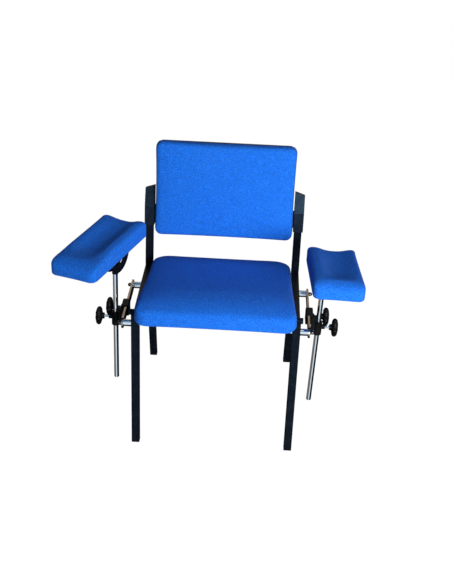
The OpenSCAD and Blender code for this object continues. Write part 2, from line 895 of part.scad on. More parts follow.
// Clamp: a hook over the bar, a link, and the post's socket
module clamp_body(side) {
    jaw_in = bar_t / 2 + jaw_gap;
    link_in = jaw_in + outer_jaw_t / 2;
    link_bottom = socket_drop + socket_l;
    color("#17181b")
        difference() {
            union() {
                in_clamp(side) {
                    translate([0, -jaw_front, 0])
                        jaw();
                    translate([link_in, -link_w / 2, -link_bottom])
                        cube([post_out - link_in, link_w, link_bottom + link_top]);
                    translate([jaw_in + outer_jaw_t, rail_knob_back, -rail_knob_drop])
                        rotate([0, 90, 0])
                            cylinder(h = rail_boss_l, d = boss_d);
                }
                in_post(side) {
                    translate([0, 0, -link_bottom])
                        cylinder(h = socket_l, d = socket_d);
                    translate([0, 0, -post_knob_drop])
                        rotate([0, 90, 0])
                            cylinder(h = socket_d / 2 + post_boss_l, d = boss_d);
                }
            }
            in_clamp(side) {
                translate([-jaw_in, -jaw_front - cut, -jaw_bottom - link_bottom])
                    cube([2 * jaw_in, jaw_l + 2 * cut, jaw_bottom + link_bottom + bar_h / 2 + jaw_gap]);
                translate([0, rail_knob_back, -rail_knob_drop])
                    rotate([0, 90, 0])
                        cylinder(h = jaw_in + outer_jaw_t + rail_boss_l + cut, r = screw_d / 2 + run_gap);
            }
            in_post(side) {
                translate([0, 0, -2 * link_bottom])
                    cylinder(h = 4 * link_bottom, r = post_d / 2 + run_gap);
                translate([0, 0, -post_knob_drop])
                    rotate([0, 90, 0])
                        cylinder(h = socket_d / 2 + post_boss_l + cut, r = screw_d / 2 + run_gap);
            }
        }
}
// The hook's section, rounded over its top, drawn along the bar
module jaw() {
    jaw_in = bar_t / 2 + jaw_gap;
    low = -jaw_in - inner_jaw_t;
    wide = 2 * jaw_in + inner_jaw_t + outer_jaw_t;
    translate([0, jaw_l, 0])
        rotate([90, 0, 0])
            linear_extrude(jaw_l) {
                translate([low, -jaw_bottom])
                    square([wide, jaw_bottom + jaw_top - jaw_round]);
                translate([low + jaw_round, jaw_top - 2 * jaw_round])
                    square([wide - 2 * jaw_round, 2 * jaw_round]);
                for (x = [low + jaw_round, low + wide - jaw_round])
                    translate([x, jaw_top - jaw_round])
                        circle(jaw_round);
            }
}

// A lobed knob that stands on z = 0, with its hub at the bottom and a blind hole for its screw
module lobed_knob() {
    lobe_r = knob_d / 2 * knob_lobe_share;
    color("#0f1013")
        difference() {
            union() {
                cylinder(h = hub_l + knob_crown, d = hub_d);
                translate([0, 0, hub_l])
                    linear_extrude(knob_t) {
                        circle(knob_d / 2 - lobe_r);
                        for (i = [1:knob_lobes])
                            rotate(360 * (i + knob_turn_share) / knob_lobes)
                                translate([knob_d / 2 - lobe_r, 0])
                                    circle(lobe_r);
                    }
                translate([0, 0, hub_l + knob_t])
                    cylinder(h = knob_crown, d1 = knob_crown_d, d2 = hub_d);
            }
            translate([0, 0, -cut])
                cylinder(h = screw_bite + cut, r = screw_d / 2 + run_gap);
        }
}
module at_rail_knob(side) {
    in_clamp(side)
        translate([bar_t / 2, rail_knob_back, -rail_knob_drop])
            rotate([0, 90, 0])
                children();
}
module at_post_knob(side) {
    in_post(side)
        translate([post_d / 2, 0, -post_knob_drop])
            rotate([0, 90, 0])
                children();
}
rail_screw_reach = jaw_gap + outer_jaw_t + rail_boss_l + rail_stem;
post_screw_reach = socket_d / 2 - post_d / 2 + post_boss_l + post_stem;
module rail_knob(side) {
    at_rail_knob(side)
        translate([0, 0, rail_screw_reach])
            lobed_knob();
}
module post_knob(side) {
    at_post_knob(side)
        translate([0, 0, post_screw_reach])
            lobed_knob();
}
module clamp_screw(reach) {
    color("#c9ced3")
        translate([0, 0, tip_gap])
            cylinder(h = reach + screw_bite - tip_gap, d = screw_d);
}
module rail_screw(side) {
    at_rail_knob(side)
        clamp_screw(rail_screw_reach);
}
module post_screw(side) {
    at_post_knob(side)
        clamp_screw(post_screw_reach);
}

// Post, with a spigot on top that the tilt head turns on
module post(side) {
    color("#c9ced3")
        in_head(side)
            translate([0, 0, -collar_bottom]) {
                cylinder(h = spigot_l, d = spigot_d);
                translate([0, 0, -post_l + post_chamfer])
                    cylinder(h = post_l - post_chamfer, d = post_d);
                translate([0, 0, -post_l])
                    cylinder(h = post_chamfer, d1 = post_d - 2 * post_chamfer, d2 = post_d);
            }
}
module tilt_head(side) {
    color("#17181b")
        in_head(side)
            difference() {
                union() {
                    translate([0, 0, -collar_bottom])
                        cylinder(h = collar_h, d = head_t);
                    translate([-head_t / 2, 0, 0])
                        rotate([90, 0, 90])
                            linear_extrude(head_t) {
                                translate([-head_w / 2, collar_h - collar_bottom])
                                    square([head_w, pivot_up + collar_bottom - collar_h]);
                                translate([0, pivot_up])
                                    circle(d = head_top_d);
                            }
                }
                translate([0, 0, -collar_bottom - cut])
                    cylinder(h = spigot_l + spigot_pocket + cut, r = spigot_d / 2 + run_gap);
                for (z = [0, pivot_up])
                    translate([-head_t, 0, z])
                        rotate([0, 90, 0])
                            cylinder(h = 2 * head_t, r = bolt_d / 2 + run_gap);
            }
}
// A bolt across the side plates, with a head at one end and a nut at the other
module cross_bolt() {
    reach = head_t / 2 + side_gap + plate_t + run_gap;
    color("#b9bec4")
        rotate([0, 90, 0]) {
            cylinder(h = 2 * (reach + washer_t), d = bolt_d, center = true);
            for (end = [0, 1])
                mirror([0, 0, end])
                    translate([0, 0, reach]) {
                        cylinder(h = washer_t, d = washer_d);
                        cylinder(h = washer_t + pivot_head_h, d = pivot_head_d, $fn = 6);
                    }
        }
}
module tilt_pivot_bolt(side) {
    in_head(side)
        translate([0, 0, pivot_up])
            cross_bolt();
}
module tilt_lock_bolt(side) {
    in_head(side)
        cross_bolt();
}
// Half-round side plates under a base plate: a slot for the lock bolt and a row of index holes
module tilt_bracket(side) {
    inner = head_t / 2 + side_gap;
    color("#141518")
        in_pad(side)
            difference() {
                union() {
                    translate([-plate_w / 2, plate_back - plate_r, pad_seat - plate_t])
                        cube([plate_w, 2 * plate_r, plate_t]);
                    for (x = [inner, -inner - plate_t])
                        translate([x, 0, 0])
                            rotate([90, 0, 90])
                                linear_extrude(plate_t)
                                    side_plate();
                }
                pad_screw_places()
                    translate([0, 0, pad_seat - plate_t - cut])
                        cylinder(h = plate_t + 2 * cut, d = pad_screw_d + 2 * bolt_gap);
            }
}
module side_plate() {
    slot_half = bolt_d / 2 + 2 * run_gap;
    difference() {
        intersection() {
            translate([plate_back, 0])
                circle(plate_r);
            translate([plate_back - plate_r, -plate_r])
                square([2 * plate_r, plate_r + pad_seat - plate_t / 2]);
        }
        circle(bolt_d / 2 + run_gap);
        difference() {
            circle(pivot_up + slot_half);
            circle(pivot_up - slot_half);
            for (flip = [0, 1])
                mirror([flip, 0])
                    rotate(slot_reach)
                        translate([0, -2 * plate_r])
                            square([2 * plate_r, 4 * plate_r]);
        }
        for (a = [-index_last:index_step:index_last])
            rotate(a)
                translate([0, -index_r])
                    circle(d = index_d);
    }
}

// Arm pads
module pad_board(side) {
    color("#8a6a45")
        in_pad_middle(side)
            difference() {
                linear_extrude(pad_board_t)
                    pad_board_outline();
                translate([-pad_out, pad_forward, 0])
                    pad_screw_places()
                        translate([0, 0, -cut])
                            cylinder(h = pad_screw_bite + bolt_gap + cut, d = pad_screw_d + run_gap);
            }
}
module pad_board_outline(grow = 0) {
    less = pad_inset - grow;
    rounded_rect(pad_w - 2 * less, pad_l - 2 * less, pad_corner - less);
}
module pad_screws(side) {
    color("#b9bec4")
        in_pad(side)
            pad_screw_places()
                translate([0, 0, pad_seat]) {
                    translate([0, 0, -plate_t])
                        cylinder(h = plate_t + pad_screw_bite, d = pad_screw_d);
                    translate([0, 0, -plate_t - pad_screw_head_h])
                        cylinder(h = pad_screw_head_h, d = pad_screw_head_d);
                }
}
module arm_pad(side) {
    color("#1f6fe0")
        in_pad_middle(side)
            difference() {
                translate([0, 0, skirt_lift])
                    cushion_form(pad_w, pad_l, pad_t - skirt_lift, [pad_corner, pad_corner], pad_soft,
                        skirt_soft, pad_crown, pad_draw, dip = pad_dip, ridge = pad_ridge);
                translate([0, 0, -cut])
                    linear_extrude(pad_board_t + cut)
                        pad_board_outline(pocket_gap);
            }
}

translate([-origin_x, -origin_y, 0]) {
    front_leg(left);  // front_leg_left
    front_leg(right);  // front_leg_right
    rear_leg(left);  // rear_leg_left
    rear_leg(right);  // rear_leg_right
    side_rail(left);  // side_rail_left
    side_rail(right);  // side_rail_right
    cross_tube();
    cross_tube_plugs();
    seat_rail();
    front_glides();
    rear_glides();
    seat_board();
    seat_cushion();
    seat_bolts();
    back_board();
    back_cushion();
    back_cover();
    back_screws();
    cover_screws();
    back_sleeve(left);  // back_sleeve_left
    back_sleeve(right);  // back_sleeve_right
    rail_bar(left);  // rail_bar_left
    rail_bar(right);  // rail_bar_right
    rail_spacers(left);  // rail_spacers_left
    rail_spacers(right);  // rail_spacers_right
    rail_bolts(left);  // rail_bolts_left
    rail_bolts(right);  // rail_bolts_right
    rail_nuts(left);  // rail_nuts_left
    rail_nuts(right);  // rail_nuts_right
    clamp_body(left);  // clamp_body_left
    clamp_body(right);  // clamp_body_right
    rail_knob(left);  // rail_knob_left
    rail_knob(right);  // rail_knob_right
    rail_screw(left);  // rail_screw_left
    rail_screw(right);  // rail_screw_right
    post_knob(left);  // post_knob_left
    post_knob(right);  // post_knob_right
    post_screw(left);  // post_screw_left
    post_screw(right);  // post_screw_right
    post(left);  // post_left
    post(right);  // post_right
    tilt_head(left);  // tilt_head_left
    tilt_head(right);  // tilt_head_right
    tilt_pivot_bolt(left);  // tilt_pivot_bolt_left
    tilt_pivot_bolt(right);  // tilt_pivot_bolt_right
    tilt_lock_bolt(left);  // tilt_lock_bolt_left
    tilt_lock_bolt(right);  // tilt_lock_bolt_right
    tilt_bracket(left);  // tilt_bracket_left
    tilt_bracket(right);  // tilt_bracket_right
    pad_board(left);  // pad_board_left
    pad_board(right);  // pad_board_right
    pad_screws(left);  // pad_screws_left
    pad_screws(right);  // pad_screws_right
    arm_pad(left);  // arm_pad_left
    arm_pad(right);  // arm_pad_right
}
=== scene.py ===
import bpy
import numpy as np
from math import atan2, cos, hypot, pi, radians, sin
from mathutils import Matrix, Vector


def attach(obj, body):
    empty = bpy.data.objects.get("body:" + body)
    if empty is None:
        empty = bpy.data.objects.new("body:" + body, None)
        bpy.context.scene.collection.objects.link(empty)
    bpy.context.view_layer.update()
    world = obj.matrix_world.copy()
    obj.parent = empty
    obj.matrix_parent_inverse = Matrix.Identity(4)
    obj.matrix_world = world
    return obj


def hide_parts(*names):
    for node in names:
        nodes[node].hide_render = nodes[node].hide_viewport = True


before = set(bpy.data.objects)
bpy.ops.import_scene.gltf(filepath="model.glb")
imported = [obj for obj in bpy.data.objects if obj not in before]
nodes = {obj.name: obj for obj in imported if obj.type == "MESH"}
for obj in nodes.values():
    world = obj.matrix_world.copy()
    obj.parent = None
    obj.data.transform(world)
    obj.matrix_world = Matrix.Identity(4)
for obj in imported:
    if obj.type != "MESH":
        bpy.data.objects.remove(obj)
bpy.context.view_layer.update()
scene = bpy.context.scene


# Camera: it stands in front of the chair at a grown person's eye height and looks down on the seat,
# a little from the picture's right, tilted as it was held.
yaw, pitch, roll = -0.027, 0.484, 0.0408
eye = Vector((0.131493, -3.015494, 2.0408))
ahead = Vector((sin(yaw) * cos(pitch), cos(yaw) * cos(pitch), -sin(pitch)))
level = Vector((cos(yaw), -sin(yaw), 0))
upright = level.cross(ahead)
camera_right = cos(roll) * level + sin(roll) * upright
camera_up = cos(roll) * upright - sin(roll) * level
camera = bpy.data.objects.new("camera", bpy.data.cameras.new("camera"))
scene.collection.objects.link(camera)
camera.data.sensor_width = 36
camera.data.lens = 64.73
camera.matrix_world = Matrix((
    (camera_right.x, camera_up.x, -ahead.x, eye.x),
    (camera_right.y, camera_up.y, -ahead.y, eye.y),
    (camera_right.z, camera_up.z, -ahead.z, eye.z),
    (0, 0, 0, 1)))
scene.camera = camera
scene.view_settings.view_transform = "Standard"


# Studio: a white floor and a white surround, one broad lamp low in front of the chair, as from a
# flash beside the camera, and a weak one above. Metal sees a dim room with a window in front of it,
# a lit wall behind, a darker one at the side and some sky above, and no floor.
def maths(tree, operation, *values):
    node = tree.nodes.new("ShaderNodeMath")
    node.operation = operation
    for socket, value in zip(node.inputs, values):
        if isinstance(value, (int, float)):
            socket.default_value = value
        else:
            tree.links.new(value, socket)
    return node.outputs["Value"]


def ramp(tree, value, low, high, start=0.0, end=1.0):
    """A soft step that goes from start to end while the value goes from low to high."""
    node = tree.nodes.new("ShaderNodeMapRange")
    node.interpolation_type = "SMOOTHSTEP"
    for label, given in (("Value", value), ("From Min", low), ("From Max", high), ("To Min", start),
                         ("To Max", end)):
        if isinstance(given, (int, float)):
            node.inputs[label].default_value = given
        else:
            tree.links.new(given, node.inputs[label])
    return node.outputs["Result"]


def mixed(tree, share, first, second):
    node = tree.nodes.new("ShaderNodeMix")
    node.data_type = "RGBA"
    tree.links.new(share, node.inputs["Factor"])
    for socket, value in ((node.inputs["A"], first), (node.inputs["B"], second)):
        if isinstance(value, tuple):
            socket.default_value = value
        else:
            tree.links.new(value, socket)
    return node.outputs["Result"]


def either(tree, share, first, second):
    """The second shader where the share is 1, and the first where it is 0."""
    node = tree.nodes.new("ShaderNodeMixShader")
    for socket, source in zip(node.inputs, (share, first, second)):
        tree.links.new(source, socket)
    return node.outputs["Shader"]


white = (1, 1, 1, 1)
surround = bpy.data.worlds.new("surround")
scene.world = surround
surround.use_nodes = True
tree = surround.node_tree
tree.nodes.clear()
to_world = tree.nodes.new("ShaderNodeOutputWorld")
path = tree.nodes.new("ShaderNodeLightPath")
backdrop, room, mirrored = [tree.nodes.new("ShaderNodeBackground") for _ in range(3)]
for background, strength in ((backdrop, 1.0), (room, 0.115), (mirrored, 1.0)):
    background.inputs["Color"].default_value = white
    background.inputs["Strength"].default_value = strength
towards = tree.nodes.new("ShaderNodeSeparateXYZ")
tree.links.new(tree.nodes.new("ShaderNodeTexCoord").outputs["Generated"], towards.inputs["Vector"])
side_wall = ramp(tree, maths(tree, "MULTIPLY", towards.outputs["X"], -1.0), 0.55, 0.85)
rear_wall = maths(tree, "MULTIPLY", ramp(tree, towards.outputs["Y"], 0.45, 0.75),
                  ramp(tree, towards.outputs["Z"], 0.10, 0.30))
sky = ramp(tree, towards.outputs["Z"], 0.50, 0.90)
window = ramp(tree, maths(tree, "MULTIPLY", towards.outputs["Y"], -1.0), 0.68, 0.84)
seen_by_metal = (0.010, 0.012, 0.016, 1)
for mask, colour in ((side_wall, (0.26, 0.21, 0.17, 1)), (rear_wall, (0.78, 0.64, 0.50, 1)),
                     (sky, (0.20, 0.34, 0.52, 1)), (window, (0.74, 0.89, 1.0, 1))):
    seen_by_metal = mixed(tree, mask, seen_by_metal, colour)
tree.links.new(seen_by_metal, mirrored.inputs["Color"])
for_light = either(tree, path.outputs["Is Glossy Ray"], room.outputs["Background"],
                   mirrored.outputs["Background"])
tree.links.new(either(tree, path.outputs["Is Camera Ray"], for_light, backdrop.outputs["Background"]),
               to_world.inputs["Surface"])

bpy.ops.object.select_all(action="DESELECT")
bpy.ops.mesh.primitive_plane_add(size=30, location=(0, 0, -0.0005))
floor = bpy.context.active_object
floor.name = "floor"
floor_white = bpy.data.materials.new("floor_white")
floor_white.use_nodes = True
tree = floor_white.node_tree
tree.nodes.clear()
to_surface = tree.nodes.new("ShaderNodeOutputMaterial")
path = tree.nodes.new("ShaderNodeLightPath")
painted = tree.nodes.new("ShaderNodeBsdfDiffuse")
painted.inputs["Color"].default_value = (0.86, 0.86, 0.86, 1)
glow = tree.nodes.new("ShaderNodeEmission")
glow.inputs["Color"].default_value = white
glow.inputs["Strength"].default_value = 1.04
unseen = tree.nodes.new("ShaderNodeBsdfTransparent")
glow_share = maths(tree, "MULTIPLY", path.outputs["Is Camera Ray"], 0.97)
lit = either(tree, glow_share, painted.outputs["BSDF"], glow.outputs["Emission"])
tree.links.new(either(tree, path.outputs["Is Glossy Ray"], lit, unseen.outputs["BSDF"]),
               to_surface.inputs["Surface"])
floor.data.materials.append(floor_white)

for name, place, aim, size, spread, power in (
        ("front_lamp", (1.25, -2.9, 1.25), (0.4, -0.05, 0.65), 1.0, 70, 20.9),
        ("top_lamp", (0.9, -0.6, 2.45), (-0.1, -0.05, 0.55), 1.2, 180, 6.5)):
    lamp = bpy.data.objects.new(name, bpy.data.lights.new(name, "AREA"))
    scene.collection.objects.link(lamp)
    lamp.data.size = size
    lamp.data.spread = radians(spread)
    lamp.data.energy = power
    lamp.location = place
    lamp.rotation_euler = (Vector(aim) - Vector(place)).to_track_quat("-Z", "Y").to_euler()


# Frame: 25.4 mm square steel tube and a round cross tube, welded and powder-coated in a satin
# blue-black. Its finish has been in use, as all the hard ones here: fine grain in the surface,
# streaks along the piece, and handled patches that are lighter or darker and more or less dull.
def noise(tree, vector, scale, detail=3.0, roughness=0.5):
    node = tree.nodes.new("ShaderNodeTexNoise")
    node.inputs["Detail"].default_value = detail
    node.inputs["Roughness"].default_value = roughness
    tree.links.new(vector, node.inputs["Vector"])
    if isinstance(scale, (int, float)):
        node.inputs["Scale"].default_value = scale
    else:
        tree.links.new(scale, node.inputs["Scale"])
    return node.outputs["Fac"]


aged_finish = bpy.data.node_groups.new("aged_finish", "ShaderNodeTree")
tree = aged_finish
for label, kind, value in (
        ("Vector", "Vector", None), ("Tone", "Color", (0, 0, 0, 1)), ("Worn", "Color", (0, 0, 0, 1)),
        ("Wear", "Float", 0.5), ("Grain", "Float", 900.0), ("Smooth", "Float", 0.2),
        ("Dull", "Float", 0.4), ("Relief", "Float", 0.0001)):
    socket = tree.interface.new_socket(label, in_out="INPUT", socket_type="NodeSocket" + kind)
    if value is not None:
        socket.default_value = value
for label, kind in (("Color", "Color"), ("Roughness", "Float"), ("Normal", "Vector")):
    tree.interface.new_socket(label, in_out="OUTPUT", socket_type="NodeSocket" + kind)
given = tree.nodes.new("NodeGroupInput")
made = tree.nodes.new("NodeGroupOutput")
where = given.outputs["Vector"]
lengthwise = tree.nodes.new("ShaderNodeVectorMath")
lengthwise.operation = "MULTIPLY"
lengthwise.inputs[1].default_value = (1.0, 1.0, 0.06)
tree.links.new(where, lengthwise.inputs[0])
fine = noise(tree, where, given.outputs["Grain"], 4.0, 0.6)
patches = noise(tree, where, maths(tree, "MULTIPLY", given.outputs["Grain"], 0.03), 4.0)
streaks = noise(tree, lengthwise.outputs["Vector"],
                maths(tree, "MULTIPLY", given.outputs["Grain"], 0.35), 3.0)
handled = maths(tree, "MULTIPLY", ramp(tree, patches, 0.46, 0.72), ramp(tree, streaks, 0.3, 0.7))
handled = maths(tree, "MULTIPLY", handled, given.outputs["Wear"])
speckle = maths(tree, "MULTIPLY", ramp(tree, fine, 0.35, 0.75), 0.25)
speckle = maths(tree, "MULTIPLY", speckle, given.outputs["Wear"])
tree.links.new(mixed(tree, maths(tree, "ADD", handled, speckle), given.outputs["Tone"],
                     given.outputs["Worn"]), made.inputs["Color"])
cloudy = maths(tree, "ADD", maths(tree, "MULTIPLY", patches, 0.6), maths(tree, "MULTIPLY", streaks, 0.4))
tree.links.new(ramp(tree, cloudy, 0.35, 0.65, given.outputs["Smooth"], given.outputs["Dull"]),
               made.inputs["Roughness"])
relief = tree.nodes.new("ShaderNodeBump")
relief.inputs["Strength"].default_value = 1.0
tree.links.new(given.outputs["Relief"], relief.inputs["Distance"])
tree.links.new(maths(tree, "ADD", fine, maths(tree, "MULTIPLY", streaks, 0.5)), relief.inputs["Height"])
tree.links.new(relief.outputs["Normal"], made.inputs["Normal"])


def finish_of(name, tone, worn, wear, grain, smooth, dull, relief, metallic=0.0, specular=0.5,
              gleam=(1, 1, 1, 1)):
    """A material whose colour, dullness and surface all come from the aged finish."""
    material = bpy.data.materials.new(name)
    material.use_nodes = True
    tree = material.node_tree
    shader = tree.nodes["Principled BSDF"]
    where = tree.nodes.new("ShaderNodeTexCoord")
    aged = tree.nodes.new("ShaderNodeGroup")
    aged.node_tree = aged_finish
    tree.links.new(where.outputs["Object"], aged.inputs["Vector"])
    for label, value in (("Tone", tone), ("Worn", worn), ("Wear", wear), ("Grain", grain),
                         ("Smooth", smooth), ("Dull", dull), ("Relief", relief)):
        aged.inputs[label].default_value = value
    for label, socket in (("Color", "Base Color"), ("Roughness", "Roughness"), ("Normal", "Normal")):
        tree.links.new(aged.outputs[label], shader.inputs[socket])
    shader.inputs["Metallic"].default_value = metallic
    shader.inputs["Specular IOR Level"].default_value = specular
    shader.inputs["Specular Tint"].default_value = gleam
    return material


def dress(name, material, round_edge=0.0, steps=2):
    """A CAD piece keeps its shape and gets its finish; given a round edge, its flat faces are joined and
    its edges eased.
    """
    node = nodes[name]
    bpy.ops.object.select_all(action="DESELECT")
    node.select_set(True)
    bpy.context.view_layer.objects.active = node
    node.data.materials.clear()
    node.data.materials.append(material)
    if round_edge:
        flatten = node.modifiers.new("flatten", "DECIMATE")
        flatten.decimate_type = "DISSOLVE"
        flatten.angle_limit = radians(2)
        ease = node.modifiers.new("ease", "BEVEL")
        ease.width = round_edge
        ease.segments = steps
        ease.limit_method = "ANGLE"
        ease.angle_limit = radians(40)
        ease.harden_normals = True
    bpy.ops.object.shade_smooth_by_angle(angle=radians(35))


paint = finish_of("frame_coating", tone=(0.0030, 0.0046, 0.0085, 1), worn=(0.014, 0.020, 0.032, 1),
                  wear=0.55, grain=1400.0, smooth=0.26, dull=0.42, relief=0.00003, specular=0.10,
                  gleam=(0.45, 0.70, 1.0, 1))
for name in ("front_leg_left", "front_leg_right", "rear_leg_left", "rear_leg_right", "side_rail_left",
             "side_rail_right", "cross_tube", "seat_rail"):
    dress(name, paint)


# Mouldings: the sleeves over the uprights, the back's rear cover, the end plugs and the glides are
# black plastic with a fine spark-eroded grain, pushed or screwed on the frame.
moulding = finish_of("moulding", tone=(0.0050, 0.0072, 0.0125, 1), worn=(0.026, 0.036, 0.052, 1),
                     wear=0.5, grain=2200.0, smooth=0.26, dull=0.42, relief=0.00006, specular=0.20,
                     gleam=(0.32, 0.66, 1.0, 1))
for name in ("cross_tube_plugs", "front_glides", "rear_glides"):
    dress(name, moulding, round_edge=0.0006)
for name in ("back_cover", "back_sleeve_left", "back_sleeve_right"):
    dress(name, moulding, round_edge=0.0015, steps=3)


# Boards: bare birch plywood under the cushions, with its grain along the length and glue lines every
# 3 mm on the edge. They are screwed to the frame, the sleeves' ears and the tilt brackets.
plywood = bpy.data.materials.new("birch_ply")
plywood.use_nodes = True
tree = plywood.node_tree
shader = tree.nodes["Principled BSDF"]
where = tree.nodes.new("ShaderNodeTexCoord").outputs["Object"]
grain = tree.nodes.new("ShaderNodeVectorMath")
grain.operation = "MULTIPLY"
grain.inputs[1].default_value = (1.0, 0.05, 1.0)
tree.links.new(where, grain.inputs[0])
figure = noise(tree, grain.outputs["Vector"], 60.0, 5.0, 0.65)
pores = noise(tree, grain.outputs["Vector"], 900.0, 2.0)
axes = tree.nodes.new("ShaderNodeSeparateXYZ")
tree.links.new(where, axes.inputs["Vector"])
glue_spacing = 0.003
plies = maths(tree, "SINE", maths(tree, "MULTIPLY", axes.outputs["Z"], 2 * pi / glue_spacing))
glue_lines = maths(tree, "MULTIPLY", ramp(tree, plies, 0.6, 1.0), 0.25)
pale_wood, dark_wood, glue = (0.48, 0.33, 0.19, 1), (0.33, 0.20, 0.10, 1), (0.17, 0.10, 0.05, 1)
wood = mixed(tree, glue_lines, mixed(tree, ramp(tree, figure, 0.35, 0.68), pale_wood, dark_wood), glue)
tree.links.new(wood, shader.inputs["Base Color"])
tree.links.new(ramp(tree, pores, 0.3, 0.7, 0.5, 0.75), shader.inputs["Roughness"])
fibre = tree.nodes.new("ShaderNodeBump")
fibre.inputs["Distance"].default_value = 0.0002
tree.links.new(maths(tree, "ADD", figure, pores), fibre.inputs["Height"])
tree.links.new(fibre.outputs["Normal"], shader.inputs["Normal"])
for name in ("seat_board", "back_board", "pad_board_left", "pad_board_right"):
    dress(name, plywood)


# Upholstery cloth: blue crepe, a tight weave of 0.9 mm threads with a mottled yarn and painted shade in
# the gaps between the threads, a little sheen, and a surface that has gone slightly paler and duller
# where it is rubbed.
cloth = bpy.data.materials.new("upholstery_cloth")
cloth.use_nodes = True
tree = cloth.node_tree
shader = tree.nodes["Principled BSDF"]
where = tree.nodes.new("ShaderNodeTexCoord").outputs["Object"]
axes = tree.nodes.new("ShaderNodeSeparateXYZ")
tree.links.new(where, axes.inputs["Vector"])
thread_pair = 0.0018
wander = maths(tree, "MULTIPLY", noise(tree, where, 70.0, 2.0), 3.0)
threads = []
for axis in "XYZ":
    turns = maths(tree, "MULTIPLY", axes.outputs[axis], 2 * pi / thread_pair)
    threads.append(maths(tree, "SINE", maths(tree, "ADD", turns, wander)))
crossings = [maths(tree, "MULTIPLY", threads[i], threads[j]) for i, j in ((0, 1), (1, 2), (2, 0))]
weave = ramp(tree, maths(tree, "ADD", maths(tree, "ADD", crossings[0], crossings[1]), crossings[2]),
             -1.2, 1.6)
yarn = noise(tree, where, 800.0, 2.0, 0.7)
mottle = noise(tree, where, 300.0, 2.0, 0.6)
rubbed = noise(tree, where, 14.0, 3.0)
deep_blue, bright_blue = (0.0085, 0.118, 0.60, 1), (0.019, 0.225, 0.98, 1)
tint = mixed(tree, ramp(tree, mottle, 0.34, 0.66), deep_blue, bright_blue)
# Over the mottle go the darker yarn, painted shade in the weave's gaps between threads, and paler rubbed
# places.
for mask, weight, colour in (
        (ramp(tree, yarn, 0.40, 0.66), 0.55, (0.006, 0.080, 0.42, 1)),
        (ramp(tree, weave, 0.0, 0.35, 1.0, 0.0), 0.30, (0.004, 0.060, 0.36, 1)),
        (ramp(tree, rubbed, 0.50, 0.75), 0.05, (0.060, 0.260, 0.95, 1))):
    tint = mixed(tree, maths(tree, "MULTIPLY", mask, weight), tint, colour)
tree.links.new(tint, shader.inputs["Base Color"])
fuzz = maths(tree, "ADD", yarn, maths(tree, "MULTIPLY", rubbed, 0.4))
tree.links.new(ramp(tree, fuzz, 0.4, 1.0, 0.72, 0.95), shader.inputs["Roughness"])
nap = tree.nodes.new("ShaderNodeBump")
nap.inputs["Distance"].default_value = 0.00035
nap.inputs["Strength"].default_value = 0.8
tree.links.new(maths(tree, "ADD", maths(tree, "MULTIPLY", weave, 0.6), maths(tree, "ADD", yarn, mottle)),
               nap.inputs["Height"])
tree.links.new(nap.outputs["Normal"], shader.inputs["Normal"])
shader.inputs["Sheen Weight"].default_value = 0.03
shader.inputs["Sheen Roughness"].default_value = 0.5
shader.inputs["Specular IOR Level"].default_value = 0.08


